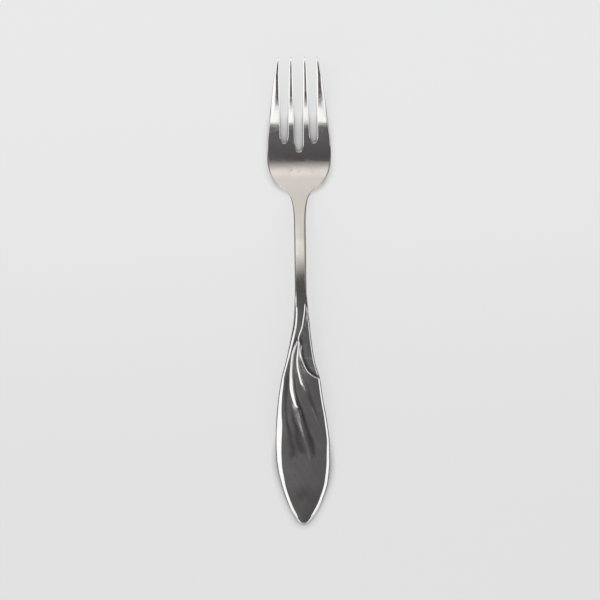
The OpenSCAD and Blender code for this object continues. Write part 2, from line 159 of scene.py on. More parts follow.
left_rim_shares = [[0, 0.12], [0.02, 0.2], [0.045, 0.48], [0.14, 0.53], [0.2, 0.64], [0.27, 0.8],
    [0.34, 0.93], [0.4, 1], [0.44, 0.93], [0.475, 0.76], [0.51, 0.6], [0.56, 0.48], [0.61, 0.41],
    [0.64, 0.28], [0.7, 0.26], [0.76, 0.36], [0.84, 0.36], [0.9, 0.27], [1, 0.16]]
right_rim_shares = [[0, 0.2], [0.02, 0.35], [0.045, 0.88], [0.1, 0.97], [0.2, 1], [0.27, 0.95], [0.33, 0.8],
    [0.36, 0.65], [0.45, 0.55], [0.55, 0.45], [0.62, 0.4], [0.64, 0.3], [1, 0.25]]

# Crest lines of the folds: share of the handle's length, share of its width from the left edge
long_fold_shares = [[0, 0.7], [0.287, 0.63], [0.322, 0.608], [0.365, 0.556], [0.408, 0.514], [0.452, 0.485],
    [0.495, 0.445], [0.517, 0.408], [0.538, 0.381], [0.582, 0.326], [0.625, 0.287], [0.651, 0.266],
    [0.69, 0.243], [0.733, 0.224], [0.768, 0.256], [0.794, 0.345], [1, 0.5]]
short_fold_shares = [[0, 0.95], [0.551, 0.65], [0.582, 0.592], [0.6, 0.56], [0.625, 0.518], [0.651, 0.485],
    [0.69, 0.43], [0.72, 0.41], [0.755, 0.415], [0.785, 0.41], [1, 0.5]]
lip_shares = [[0, 1.2], [0.6, 1.06], [0.629, 0.968], [0.637, 0.9], [0.651, 0.784], [0.668, 0.697],
    [0.686, 0.648], [0.703, 0.6], [0.72, 0.552], [0.738, 0.516], [0.755, 0.49], [0.774, 0.463],
    [0.794, 0.425], [0.807, 0.4], [0.82, 0.435], [0.833, 0.49], [0.859, 0.59], [0.885, 0.65],
    [0.911, 0.725], [0.937, 0.79], [0.963, 0.84], [1, 0.9]]
# The painted shadow line where the stem's lower edge crosses the folds
crossing_shares = [[0, 0], [0.738, 0.12], [0.755, 0.146], [0.768, 0.158], [0.781, 0.186], [0.794, 0.236],
    [0.807, 0.292], [0.82, 0.362], [0.835, 0.43], [1, 0.5]]
# Painted dark streaks of shade in the hollows: left of the long fold, at its foot, behind it, and behind the
# short fold
hollow_shares = [[0, 0.345], [0.287, 0.335], [0.322, 0.323], [0.365, 0.289], [0.408, 0.248], [0.452, 0.207],
    [0.495, 0.185], [0.538, 0.169], [0.582, 0.162], [0.651, 0.151], [0.686, 0.134], [1, 0.1]]
foot_shares = [[0, 0.48], [0.304, 0.477], [0.322, 0.461], [0.365, 0.418], [0.408, 0.404], [0.452, 0.343],
    [0.495, 0.305], [0.538, 0.271], [1, 0.2]]
groove_shares = [[0, 0.7], [0.287, 0.701], [0.322, 0.687], [0.365, 0.645], [0.408, 0.603], [0.452, 0.552],
    [0.495, 0.496], [0.538, 0.434], [0.582, 0.376], [0.625, 0.334], [0.651, 0.311], [0.7, 0.28], [1, 0.2]]
crease_shares = [[0, 0.95], [0.465, 0.829], [0.495, 0.786], [0.538, 0.724], [0.582, 0.687], [0.625, 0.621],
    [0.651, 0.573], [0.7, 0.5], [1, 0.3]]
# A light streak below the crease
streak_shares = [[0, 1], [0.421, 0.847], [0.452, 0.803], [0.486, 0.771], [0.521, 0.738], [1, 0.6]]

# Heights of the folds in millimetres, widths of their two sides, and depths of the grooves behind them
ridge_heights = [[0, 0], [0.27, 0], [0.3, 0.1], [0.322, 0.13], [0.365, 0.13], [0.408, 0.165],
    [0.452, 0.265], [0.495, 0.3], [0.51, 0.29], [0.53, 0.2], [0.555, 0.05], [0.57, 0], [1, 0]]
ridge_rise_widths = [[0, 1.2], [0.365, 1.1], [0.408, 1.3], [0.452, 2.1], [0.495, 2.6], [1, 2.6]]
long_fold_heights = [[0, 0], [0.505, 0], [0.512, 0.1], [0.522, 0.22], [0.54, 0.38], [0.57, 0.5], [0.6, 0.5],
    [0.668, 0.37], [0.72, 0.27], [0.775, 0.15], [0.79, 0.08], [0.8, 0], [1, 0]]
long_rise_widths = [[0, 0.4], [0.508, 0.4], [0.517, 0.75], [0.538, 1.2], [0.56, 1.4], [0.582, 1.45],
    [0.6, 1.4], [0.625, 1.2], [0.668, 0.9], [0.72, 0.7], [0.79, 0.4], [1, 0.4]]
long_fall_widths = [[0, 2], [0.48, 2], [0.515, 0.7], [0.53, 0.42], [1, 0.42]]
long_groove_depths = [[0, 0], [0.49, 0], [0.54, 0.1], [0.6, 0.08], [0.72, 0.05], [0.79, 0], [1, 0]]
short_fold_heights = [[0, 0], [0.56, 0], [0.58, 0.05], [0.592, 0.09], [0.605, 0.16], [0.62, 0.27],
    [0.72, 0.24], [0.785, 0.1], [0.81, 0], [1, 0]]
short_rise_widths = [[0, 1], [0.6, 0.95], [0.64, 0.8], [0.72, 0.6], [0.79, 0.35], [1, 0.35]]
short_groove_depths = [[0, 0], [0.54, 0], [0.6, 0.1], [0.68, 0.15], [0.75, 0.12], [0.79, 0], [1, 0]]
lip_heights = [[0, 0], [0.5, 0], [0.6, 0.06], [0.63, 0.1], [0.69, 0.12], [0.78, 0.13], [0.82, 0.15],
    [0.92, 0.16], [0.95, 0.12], [0.975, 0], [1, 0]]
lip_rise_widths = [[0, 0.45], [0.63, 0.38], [0.78, 0.36], [0.85, 0.55], [1, 0.55]]
lip_fall_widths = [[0, 0.3], [0.72, 0.3], [0.8, 1.6], [0.83, 1.9], [1, 1.9]]
recess_depths = [[0, 0.2], [0.62, 0.25], [0.64, 0.3], [0.68, 0.4], [0.71, 0.36], [0.75, 0.2], [0.79, 0.06],
    [0.83, 0.02], [0.95, 0.02], [1, 0]]
streak_heights = [[0, 0], [0.41, 0], [0.44, 0.06], [0.5, 0.06], [0.53, 0], [1, 0]]

# How dark the painted shade of each line is, and its half width in millimetres
crossing_shade_shares = [[0, 0], [0.735, 0], [0.75, 0.7], [0.8, 1], [0.818, 0.6], [0.828, 0], [1, 0]]
crossing_widths = [[0, 0.35], [1, 0.35]]
hollow_shade_shares = [[0, 0.4], [0.3, 0.6], [0.322, 0.7], [0.452, 0.75], [0.495, 0.62], [0.538, 0.62],
    [0.582, 0.75], [0.634, 0.75], [0.66, 0.4], [0.69, 0.15], [0.71, 0], [1, 0]]
hollow_widths = [[0, 1.6], [0.322, 1.6], [0.365, 1.4], [0.408, 0.8], [0.452, 0.42], [0.495, 0.4],
    [0.538, 0.5], [0.582, 0.9], [0.634, 0.8], [0.69, 0.5], [1, 0.5]]
foot_shade_shares = [[0, 0], [0.3, 0], [0.316, 0.65], [0.365, 0.7], [0.408, 0.7], [0.452, 0.65], [0.495, 0.4],
    [0.538, 0.1], [0.56, 0], [1, 0]]
foot_widths = [[0, 1.7], [0.322, 1.9], [0.365, 2], [0.408, 1.1], [0.452, 0.65], [0.495, 0.5], [1, 0.5]]
groove_shade_shares = [[0, 0.5], [0.3, 0.6], [0.322, 0.75], [0.365, 0.85], [0.408, 0.95], [0.452, 1],
    [0.538, 1], [0.582, 0.85], [0.625, 0.65], [0.66, 0.45], [0.72, 0.35], [0.76, 0], [1, 0]]
groove_widths = [[0, 0.9], [0.3, 0.8], [0.322, 1.1], [0.365, 1.2], [0.408, 0.95], [0.452, 0.75],
    [0.495, 0.75], [0.538, 0.55], [0.582, 0.38], [1, 0.33]]
crease_shade_shares = [[0, 0], [0.455, 0], [0.475, 0.3], [0.495, 0.5], [0.538, 0.6], [0.582, 0.65],
    [0.62, 0.45], [0.651, 0.35], [0.7, 0.25], [0.74, 0], [1, 0]]
crease_widths = [[0, 0.6], [0.495, 0.6], [0.538, 0.9], [0.582, 0.55], [0.625, 0.5], [1, 0.35]]
recess_shade_shares = [[0, 1], [0.79, 1], [0.815, 0.4], [0.835, 0], [1, 0]]
# Lines of painted shade: place, darkness and half width
PAINTED_SHADE_LINES = (
    (crossing_shares, crossing_shade_shares, crossing_widths),
    (hollow_shares, hollow_shade_shares, hollow_widths),
    (foot_shares, foot_shade_shares, foot_widths),
    (groove_shares, groove_shade_shares, groove_widths),
    (crease_shares, crease_shade_shares, crease_widths))
# The painted shade streaks end raggedly at this share of the handle's length
painted_shade_end_share = 0.283
# A darker, slightly rougher spot near the butt: share of length, share of width, half width, half length,
# darkness
SPOT = (0.13, 0.42, 2.6, 2.4, 0.36)

# Curves


def ease(y, a, b):
    """From 0 at a to 1 at b, level at both ends."""
    s = np.clip((y - a) / (b - a), 0, 1)
    return s * s * (3 - 2 * s)


def blend(p, q, y, a, b):
    """From p at a to q at b, level at both ends."""
    return p + (q - p) * ease(y, a, b)


def ease_area(y, a, b):
    """What ease adds up to on the way to y."""
    s = np.clip((y - a) / (b - a), 0, 1)
    return (b - a) * (s ** 3 - s ** 4 / 2) + np.maximum(0, y - b)


def ease_inverse(v):
    """Where ease from 0 to 1 reaches the value v."""
    return 0.5 - math.sin(math.asin(1 - 2 * v) / 3)


def curve(rows, s):
    """Smooth curve through rows of [place, value] that never overshoots them."""
    x, v = np.array(rows, float).T
    w = np.diff(x)
    secants = np.diff(v) / w
    a, b = secants[:-1], secants[1:]
    turning = a * b > 0
    inner = np.where(turning, 2 * a * b / np.where(turning, a + b, 1), 0)
    tangents = np.concatenate(([secants[0]], inner, [secants[-1]]))
    i = np.clip(np.searchsorted(x, s) - 1, 0, len(x) - 2)
    t = np.clip((s - x[i]) / w[i], 0, 1)
    t2, t3 = t ** 2, t ** 3
    return (v[i] * (1 - 3 * t2 + 2 * t3) + v[i + 1] * (3 * t2 - 2 * t3)
            + w[i] * (tangents[i] * (t - 2 * t2 + t3) + tangents[i + 1] * (t3 - t2)))


def rounded(smallest, s):
    """From the smallest share at 0 to the whole at 1, along a quarter round."""
    return smallest + (1 - smallest) * np.sqrt(1 - (1 - np.clip(s, 0, 1)) ** 2)


def fall(gap, width, drop, slope_share):
    """How far a surface falls at a gap from its edge: an even slope mixed with a quarter round."""
    q = 1 - np.clip(gap / width, 0, 1)
    return drop * (slope_share * q + (1 - slope_share) * (1 - np.sqrt(1 - q * q)))


# Side view: the back lies on the palm and near the butt, and bends over each of the named lengths

palm_y = palm_bend_y + palm_bend * ease_inverse(neck_slope / (neck_slope + tine_slope))


def rest_gain(y):
    return ease_area(y, rest_y, rest_y + rest_bend)


def arch_gain(y):
    return ease_area(y, arch_y, arch_y + arch_bend)


def palm_gain(y):
    return ease_area(y, palm_bend_y, palm_bend_y + palm_bend)


handle_slope = float((neck_slope * arch_gain(palm_y) - (neck_slope + tine_slope) * palm_gain(palm_y))
                     / (rest_gain(palm_y) - arch_gain(palm_y)))


def rise(y):
    return (handle_slope * rest_gain(y) - (handle_slope + neck_slope) * arch_gain(y)
            + (neck_slope + tine_slope) * palm_gain(y) + butt_slope * ease_area(-y, -rest_y, -butt_y))


def back_z(y):
    return rise(y) - rise(palm_y) - rest_wear


def thickness(y):
    return (butt_t + (handle_t - butt_t) * ease(y, butt_y, butt_y + handle_len / 3)
            + (neck_t - handle_t) * ease(y, neck_y - handle_len / 2, neck_y)
            + (head_t - neck_t) * ease(y, head_y - neck_len / 3, parting_y - head_len / 4)
            + (tip_t - head_t) * ease(y, parting_y, tip_y))


# Plan view

neck_half = neck_w / 2


def handle_share(y):
    return (y - butt_y) / handle_len


def butt_end(y, smallest):
    return rounded(smallest, (y - butt_y) / butt_round)


def handle_half(y, rows):
    shares = curve(rows, handle_share(y))
    return butt_end(y, butt_blunt_share) * (neck_half + (handle_w / 2 - neck_half) * shares)


def left_half(y):
    return handle_half(y, left_outline_shares)


def right_half(y):
    corner_share = stem_outline_shares[0][0]
    return np.where(handle_share(y) < corner_share, handle_half(y, leaf_outline_shares),
                    handle_half(y, stem_outline_shares))


def head_half(y):
    return neck_half + (head_w / 2 - neck_half) * curve(head_outline_shares, (y - head_y) / head_len)


def tines_half(y):
    return tip_span / 2 + (head_w - tip_span) / 2 * curve(tine_outline_shares, (y - parting_y) / tine_len)


# A slot has a centre line, which leans inwards by so much, a half width and a closed end
Slot = namedtuple("Slot", "x lean half end_y")
MIDDLE = Slot(0, 0, middle_slot_w / 2, parting_y + slot_setback)
SIDE = Slot(side_slot_x, slot_lean, side_slot_w / 2, parting_y + slot_setback + slot_step)

# A tine lies between two edges: half of the fork, slot or outline, side of the slot
OUTLINE = None
TINES = {
    "tine_1": ((-1, OUTLINE, 0), (-1, SIDE, 1)),
    "tine_2": ((-1, SIDE, -1), (-1, MIDDLE, 1)),
    "tine_3": ((1, MIDDLE, 1), (1, SIDE, -1)),
    "tine_4": ((1, SIDE, 1), (1, OUTLINE, 0)),
}


def slot_share(y):
    return np.maximum(0, (y - parting_y) / tine_len)


def slot_x(slot, y):
    return slot.x - slot.lean * slot_share(y)


def slot_full(slot, y):
    """Half width of a slot as if it had no closed end."""
    return slot.half + slot_flare / 2 * slot_share(y) ** 1.5


def slot_half(slot, y):
    """Half width of a slot, whose closed end is half an oval."""
    closing = 1 - np.clip((y - slot.end_y) / slot_end_len, 0, 1)
    return (1 - closing ** slot_oval) ** (1 / slot_oval) * slot_full(slot, y)


# Least values that keep the next sum from dividing by nothing in the middle of a slot
LEAST_REACH = 0.05
LEAST_SLOPE = 0.02


def slot_gap(slot, x, y):
    """Distance from a place in the right half to the edge of a slot, near enough for a narrow edge."""
    half = slot_full(slot, y)
    away = np.abs(x - slot_x(slot, y)) / half
    under = np.maximum(0, slot.end_y + slot_end_len - y) / slot_end_len
    reach = np.maximum(LEAST_REACH, (away ** slot_oval + under ** slot_oval) ** (1 / slot_oval))
    p = slot_oval - 1
    slope = np.hypot(away ** p / half, under ** p / slot_end_len)
    return (reach - 1) * reach ** p / np.maximum(LEAST_SLOPE, slope)


def edge_x(edge, y):
    side, slot, away = edge
    if slot is OUTLINE:
        return side * tines_half(y)
    return side * (slot_x(slot, y) + away * slot_half(slot, y))


def edge_open(edge, y):
    """1 on a free edge, 0 where the metal runs on below the end of a slot."""
    slot = edge[1]
    if slot is OUTLINE:
        return np.ones_like(y)
    return (y > slot.end_y).astype(float)


# Rows and columns of the skins

# How close the extra row lies to a seam, in millimetres
SEAM = 0.02
# Places of the columns across a rounded edge, which lie closest at the very edge
EDGE_COLUMNS = 9
EDGE_PLACES = (1 - np.sin(np.linspace(0, math.pi / 2, EDGE_COLUMNS)))[::-1]


def fine_rows(start, end, step):
    """Even rows from start to end, with one more close to each end so that shading meets at the seams."""
    count = max(2, round((end - start) / step))
    rows = np.linspace(start, end, count + 1)
    return np.concatenate(([start, start + SEAM], rows[1:-1], [end - SEAM, end]))


def across(left, right, left_w, right_w, inner):
    """Places across a section, rows by columns: a rounded edge of each side with even columns between."""
    left, right, left_w, right_w = [v[:, None] for v in (left, right, left_w, right_w)]
    inside = np.linspace(0, 1, inner + 2)[1:-1]
    a, b = left + left_w, right - right_w
    from_right = right - EDGE_PLACES * right_w
    return np.concatenate((left + EDGE_PLACES * left_w, a + (b - a) * inside, from_right[:, ::-1]), 1)


def rings(y, x, z, left_open, right_open, inner):
    """Closed rings of a skin: the top from left to right, then the back from right to left."""
    left, right = x[:, :1], x[:, -1:]
    floor_z = np.maximum(0, back_z(y))[:, None]
    r = np.minimum(back_edge_r, (right - left) / 4)
    side_x = EDGE_PLACES * r
    side_z = fall(side_x, r, r, 0)
    flat_x = right - r + (left - right + 2 * r) * np.linspace(0, 1, inner + 2)[1:-1]
    right_z = right_open[:, None] * side_z
    left_z = left_open[:, None] * side_z
    back_x = np.concatenate((right - side_x, flat_x, (left + side_x)[:, ::-1]), 1)
    back_rise = np.concatenate((right_z, np.zeros_like(flat_x), left_z[:, ::-1]), 1)
    all_x = np.concatenate((x, back_x), 1)
    all_z = np.concatenate((z, floor_z + back_rise), 1)
    all_y = np.broadcast_to(y[:, None], all_x.shape)
    return np.stack((all_x, all_y, all_z), 2)


# Materials


def wire(tree, kind, inputs=(), **settings):
    """Adds a node and gives its outputs. An input is a value or another node's output."""
    node = tree.nodes.new(kind)
    for name, value in settings.items():
        setattr(node, name, value)
    for place, value in dict(inputs).items():
        if isinstance(value, bpy.types.NodeSocket):
            tree.links.new(value, node.inputs[place])
        else:
            node.inputs[place].default_value = value
    return node.outputs


def maths(tree, operation, *values):
    return wire(tree, "ShaderNodeMath", enumerate(values), operation=operation)[0]


def remap(tree, value, low, high, to_low, to_high, kind="SMOOTHSTEP"):
    places = {"Value": value, "From Min": low, "From Max": high, "To Min": to_low, "To Max": to_high}
    return wire(tree, "ShaderNodeMapRange", places, interpolation_type=kind)["Result"]


def mix_colour(tree, factor, a, b, kind="MIX"):
    return wire(tree, "ShaderNodeMix", {0: factor, 6: a, 7: b}, data_type="RGBA", blend_type=kind)[2]


def stretched(tree, place, scale, turn):
    """A place turned and then scaled, for marks that run one way."""
    turned = wire(tree, "ShaderNodeMapping", {"Vector": place, "Rotation": (0, 0, turn)})["Vector"]
    return wire(tree, "ShaderNodeMapping", {"Vector": turned, "Scale": scale})["Vector"]


def new_group(name, inputs):
    """A node group that puts out a mask. Its inputs are numbers, each with a name and a first value."""
    tree = bpy.data.node_groups.new(name, "ShaderNodeTree")
    for label, value in inputs:
        socket = tree.interface.new_socket(label, in_out="INPUT", socket_type="NodeSocketFloat")
        socket.default_value = value
    tree.interface.new_socket("Mask", in_out="OUTPUT", socket_type="NodeSocketFloat")
    return tree, tree.nodes.new("NodeGroupInput").outputs, tree.nodes.new("NodeGroupOutput").inputs


# Hairlines: direction in radians, spacing in metres and how sparse they are, their spacings across,
# along and upright as shares of that, and how softly they end
HAIRLINES = ((0.25, 0.0011, 0.08), (-0.5, 0.0016, 0.06), (1.2, 0.0023, 0.05), (-1.35, 0.0019, 0.05))
HAIRLINE_SHARES = (1, 0.045, 0.3)
HAIRLINE_SOFTNESS = 0.08


def hairline_group():
    """Fine scratches of use in several directions."""
    tree, given, result = new_group("hairline scratches", [("Amount", 1.0)])
    place = wire(tree, "ShaderNodeTexCoord")["Object"]
    mask = 0.0
    for turn, spacing, sparse in HAIRLINES:
        drawn_out = stretched(tree, place, [share / spacing for share in HAIRLINE_SHARES], turn)
        noise = {"Vector": drawn_out, "Scale": 1.0, "Detail": 2.0, "Roughness": 0.6}
        lines = wire(tree, "ShaderNodeTexNoise", noise)["Fac"]
        start = 0.5 + sparse
        mask = maths(tree, "MAXIMUM", mask, remap(tree, lines, start, start + HAIRLINE_SOFTNESS, 0.0, 1.0))
    tree.links.new(maths(tree, "MULTIPLY", mask, given["Amount"]), result["Mask"])
    return tree


# From where to where in the noise a smudge grows to its full strength
SMUDGE_RANGE = (0.42, 0.66)


def smudge_group():
    """Soft cloudy marks left by handling and washing."""
    tree, given, result = new_group("smudges", [("Size", 0.008), ("Amount", 1.0)])
    place = wire(tree, "ShaderNodeTexCoord")["Object"]
    scale = maths(tree, "DIVIDE", 1.0, given["Size"])
    noise = {"Vector": place, "Scale": scale, "Detail": 5.0, "Roughness": 0.55, "Distortion": 0.6}
    mask = remap(tree, wire(tree, "ShaderNodeTexNoise", noise)["Fac"], *SMUDGE_RANGE, 0.0, 1.0)
    tree.links.new(maths(tree, "MULTIPLY", mask, given["Amount"]), result["Mask"])
    return tree


STEEL = (0.66, 0.65, 0.64, 1)
# Colour of the painted shade in the grooves, also used for the darker spots
STEEL_PAINTED_SHADE = (0.2, 0.19, 0.2, 1)
STEEL_SMUDGED = (0.5, 0.49, 0.48, 1)
SMUDGE_SHARE = 0.08
# Sizes in metres
SMUDGE_SIZE = 0.009
HAIRLINE_DEPTH = 0.000004
# Roughness of the polish, and what hairlines, smudges and the painted shade add to it
POLISH_ROUGHNESS = 0.085
HAIRLINE_ROUGHNESS = 0.05
SMUDGE_ROUGHNESS = 0.05
PAINTED_SHADE_ROUGHNESS = 0.02


def steel_material():
    """Mirror polished steel: hairlines and smudges dull it, and painted shade darkens the grooves and a few
    spots.
    """
    material = bpy.data.materials.new("polished steel")
    material.use_nodes = True
    tree = material.node_tree
    tree.nodes.clear()
    # The painted shade of the grooves and the darker spots, read from the mesh's groove attribute
    painted_shade_and_spots = wire(tree, "ShaderNodeAttribute", attribute_name="groove")["Fac"]
    scratches = wire(tree, "ShaderNodeGroup", {"Amount": 1.0}, node_tree=hairlines)["Mask"]
    clouds = wire(tree, "ShaderNodeGroup", {"Size": SMUDGE_SIZE, "Amount": 1.0}, node_tree=smudges)["Mask"]
    colour = mix_colour(tree, painted_shade_and_spots, STEEL, STEEL_PAINTED_SHADE)
    colour = mix_colour(tree, maths(tree, "MULTIPLY", clouds, SMUDGE_SHARE), colour, STEEL_SMUDGED)
    rough = POLISH_ROUGHNESS
    for mask, added in ((scratches, HAIRLINE_ROUGHNESS), (clouds, SMUDGE_ROUGHNESS), (painted_shade_and_spots, PAINTED_SHADE_ROUGHNESS)):
        rough = maths(tree, "MULTIPLY_ADD", mask, added, rough)
    cut = {"Height": scratches, "Distance": HAIRLINE_DEPTH, "Strength": 0.3}
    bump = wire(tree, "ShaderNodeBump", cut)["Normal"]
    finish = {"Base Color": colour, "Metallic": 1.0, "Roughness": rough, "Normal": bump}
    shader = wire(tree, "ShaderNodeBsdfPrincipled", finish)["BSDF"]
    wire(tree, "ShaderNodeOutputMaterial", {"Surface": shader})
    return material


hairlines = hairline_group()
smudges = smudge_group()
polished_steel = steel_material()

# Skins

# Edges that turn by more degrees than this are shaded sharp
SHARP_ANGLE = 50


def skin(name, node, ring_points, painted_shade_and_spots=None):
    """A closed steel skin through rings of equal count, which stands for one CAD node.

    The painted shade and spots say how dark each place of the top is painted, in the same rows and columns.
    """
    rows, n, _ = ring_points.shape
    ends = [(ring_points[i].min(0) + ring_points[i].max(0)) / 2 for i in (0, -1)]
    points = np.concatenate((ring_points.reshape(-1, 3), ends)) * MM
    i, j = np.meshgrid(np.arange(rows - 1), np.arange(n), indexing="ij")
    a = (i * n + j).ravel()
    b = (i * n + (j + 1) % n).ravel()
    quads = np.stack((a, a + n, b + n, b), 1).tolist()
    here = np.arange(n)
    beside = (here + 1) % n
    last_row = (rows - 1) * n
    first = np.stack((np.full(n, rows * n), here, beside), 1).tolist()
    last = np.stack((np.full(n, rows * n + 1), last_row + beside, last_row + here), 1).tolist()
    mesh = bpy.data.meshes.new(name)
    mesh.from_pydata(points.tolist(), [], quads + first + last)
    mesh.update()
    mesh.shade_smooth()
    mesh.set_sharp_from_angle(angle=math.radians(SHARP_ANGLE))
    # The painted shade and spots, stored on the mesh for the steel to read
    shade = np.zeros((rows, n), np.float32)
    if painted_shade_and_spots is not None:
        shade[:, :painted_shade_and_spots.shape[1]] = painted_shade_and_spots
    shade = np.append(shade, np.zeros(len(ends), np.float32))
    mesh.attributes.new("groove", "FLOAT", "POINT").data.foreach_set("value", shade)
    mesh.materials.append(polished_steel)
    piece = bpy.data.objects.new(name, mesh)
    bpy.context.scene.collection.objects.link(piece)
    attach(piece, "root")
    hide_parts(node)


# Handle

# Widths of the short fold's steep side, of the grooves, of the recess behind the lip and of the streak
FALL_W = 0.42
GROOVE_W = 2.2
RECESS_W = 6.0
STREAK_W = 0.35
# Shares of the room behind a fold that its steep side and its groove may take, and the least room
FALL_LIMIT_SHARE = 0.3
GROOVE_LIMIT_SHARE = 0.65
LEAST_ROOM = 0.3
# Shares of a slope that its soft foot takes, on a fold and on a rim
FOLD_FOOT_SHARE = 0.35
RIM_FOOT_SHARE = 0.12
# The lower end of the painted shade: over what length it ends, how ragged it is, and the ragged waves
PAINTED_SHADE_END = 1.4
RAGGED = 0.5
RAGGED_WAVES = ((2.3, 0), (5.1, 1))
# The painted shade of the recess: how dark it is, where it starts behind the lip, and a darker painted line
# near the lip
RECESS_PAINTED_SHADE = 0.15
RECESS_START = (0.2, 0.8)
LIP_LINE = 0.7
LIP_LINE_W = 0.5
# Slow waves that polishing leaves in the blade: height, length across, length along, phase
WAVES = ((0.014, 9.0, 17.0, 0.4), (0.010, -6.5, 11.0, 1.9), (0.006, 5.0, -7.5, 3.1), (0.004, 3.1, 5.3, 5.0))


def handle_t_at(y):
    return thickness(y) * rounded(butt_t_share, (y - butt_y) / butt_top_round)


def ramp(t, foot):
    """From 0 to 1 along an even slope that starts in a soft foot."""
    t = np.clip(t, 0, 1)
    return np.where(t < foot, t * t / (2 * foot), t - foot / 2) / (1 - foot / 2)


def to_neck(value, y):
    return blend(value, neck_round_w, y, rim_end_y, neck_y)


def left_round(y):
    width = to_neck(blend(rim_round_w, stem_round_w, y, stem_y, rim_end_y), y)
    return np.minimum(left_half(y) * round_limit_share, width)


def right_round(y):
    return np.minimum(right_half(y) * round_limit_share, to_neck(rim_round_w, y))


def left_rim(y):
    width = left_rim_w * curve(left_rim_shares, handle_share(y))
    return np.minimum(left_half(y) * body_limit_share - left_round(y), width)


def right_rim(y):
    width = right_rim_w * curve(right_rim_shares, handle_share(y))
    return np.minimum(right_half(y) * body_limit_share - right_round(y), width)


def side_fall(gap, y, round_w, rim_w):
    """How far a side of the handle falls on its bevelled rim and on the rounding outside it."""
    t = handle_t_at(y)
    rim_fall = np.minimum(t * rim_limit_share, rim_slope * rim_w) * (1 - ease(y, rim_end_y, rim_gone_y))
    round_fall = np.minimum(t * drop_limit_share - rim_fall, round_drop_share * round_w)
    slope_share = blend(rim_slope_share, edge_slope_share, y, rim_end_y, neck_y)
    round_w, rim_w, rim_fall, round_fall, slope_share = [
        v[:, None] for v in (round_w, rim_w, rim_fall, round_fall, slope_share)]
    return (rim_fall * ramp(1 - (gap - round_w) / rim_w, RIM_FOOT_SHARE)
            + fall(gap, round_w, round_fall, slope_share))


def fold(d, room, height, depth, rise_w, fall_w, groove_w):
    """Height of a fold at a distance d from its crest: it rises on the left and falls into a groove."""
    down = np.minimum(fall_w, room * FALL_LIMIT_SHARE)
    back = np.minimum(groove_w, room * GROOVE_LIMIT_SHARE)
    left = height * ramp(1 + d / rise_w, FOLD_FOOT_SHARE)
    right = height - (height + depth) * ease(d, 0, down)
    far = -depth * (1 - ease(d, down, down + back))
    return np.where(d < 0, left, np.where(d < down, right, far))


def bell(d, width):
    """1 in the middle of a line or spot, which fades to both sides."""
    return np.exp(-(d / width) ** 2)


def handle_relief(x, y):
    """Height of the folds over the blade, and how dark the painted shade of the grooves and a darker spot
    make the steel.
    """
    s = handle_share(y)
    left, right = -left_half(y), right_half(y)

    def line(shares):
        """Place of a line, and the distance across it to every point."""
        at = left + (right - left) * curve(shares, s)
        return at, (x - at[:, None]) / np.hypot(1, np.gradient(at, y))[:, None]

    def column(rows):
        return curve(rows, s)[:, None]

    def room(p, q):
        """Width between two crest lines."""
        return np.maximum(LEAST_ROOM, q - p)[:, None]

    long_x, long_d = line(long_fold_shares)
    short_x, short_d = line(short_fold_shares)
    lip_x, lip_d = line(lip_shares)
    streak_d = line(streak_shares)[1]
    rows = y[:, None]
    waves = sum(h * np.sin(math.tau * (x / across_len + rows / along_len) + phase)
                for h, across_len, along_len, phase in WAVES)
    relief = (
        fold(long_d, room(long_x, short_x), column(long_fold_heights), column(long_groove_depths),
             column(long_rise_widths), column(long_fall_widths), GROOVE_W)
        + fold(long_d, room(long_x, short_x), column(ridge_heights), 0,
               column(ridge_rise_widths), column(long_fall_widths), GROOVE_W)
        + fold(short_d, room(short_x, lip_x), column(short_fold_heights), column(short_groove_depths),
               column(short_rise_widths), FALL_W, GROOVE_W)
        + fold(lip_d, 2 * RECESS_W, column(lip_heights), column(recess_depths),
               column(lip_rise_widths), column(lip_fall_widths), RECESS_W)
        + column(streak_heights) * bell(streak_d, STREAK_W))
    # Painted shade along the hollows, the groove, the crease and the stem's crossing line
    painted_shade_and_spots = 0
    for shares, shade_shares, widths in PAINTED_SHADE_LINES:
        painted_shade_and_spots = np.maximum(painted_shade_and_spots, column(shade_shares) * bell(line(shares)[1], column(widths)))
    ragged = RAGGED * sum(np.sin(x * rate + phase) for rate, phase in RAGGED_WAVES)
    end_y = butt_y + handle_len * painted_shade_end_share
    painted_shade_and_spots = painted_shade_and_spots * ease(rows + ragged, end_y, end_y + PAINTED_SHADE_END)
    # Painted shade in the recess behind the lip, and a darker painted line beside the lip
    in_recess = RECESS_PAINTED_SHADE * ease(lip_d, *RECESS_START) + bell(lip_d - LIP_LINE, LIP_LINE_W)
    painted_shade_and_spots = np.maximum(painted_shade_and_spots, column(recess_shade_shares) * in_recess)
    # A darker spot near the butt
    spot_s, spot_share, spot_w, spot_len, spot_darkness = SPOT
    spot_y = butt_y + handle_len * spot_s
    spot_x = (left + (right - left) * spot_share)[:, None]
    painted_shade_and_spots = np.maximum(painted_shade_and_spots, spot_darkness * bell(np.hypot((x - spot_x) / spot_w, (rows - spot_y) / spot_len), 1))
    wavy = ease(y, butt_y, rest_y) * (1 - ease(y, rim_end_y, neck_y))
    return relief + waves * wavy[:, None], np.clip(painted_shade_and_spots, 0, 1)


BUTT_ROWS = 25
BLADE_ROWS = 200
# From this share of its length the handle has finer rows, for the folds that cross it
fold_rows_share = 0.55
FOLD_STEP = 0.09
BLADE_COLUMNS = 132
RIM_COLUMNS = 8
BACK_COLUMNS = 20


def handle_columns(y, left, right):
    """Places across the handle: rounding and rim of each side, with even columns between them."""

    def side(round_w, rim_w):
        steps = np.linspace(0, 1, RIM_COLUMNS + 1)[1:]
        return np.concatenate((EDGE_PLACES * round_w[:, None], round_w[:, None] + steps * rim_w[:, None]), 1)

    from_left = left[:, None] + side(left_round(y), left_rim(y))
    from_right = right[:, None] - side(right_round(y), right_rim(y))
    a, b = from_left[:, -1:], from_right[:, -1:]
    between = a + (b - a) * np.linspace(0, 1, BLADE_COLUMNS + 2)[1:-1]
    return np.concatenate((from_left, between, from_right[:, ::-1]), 1)


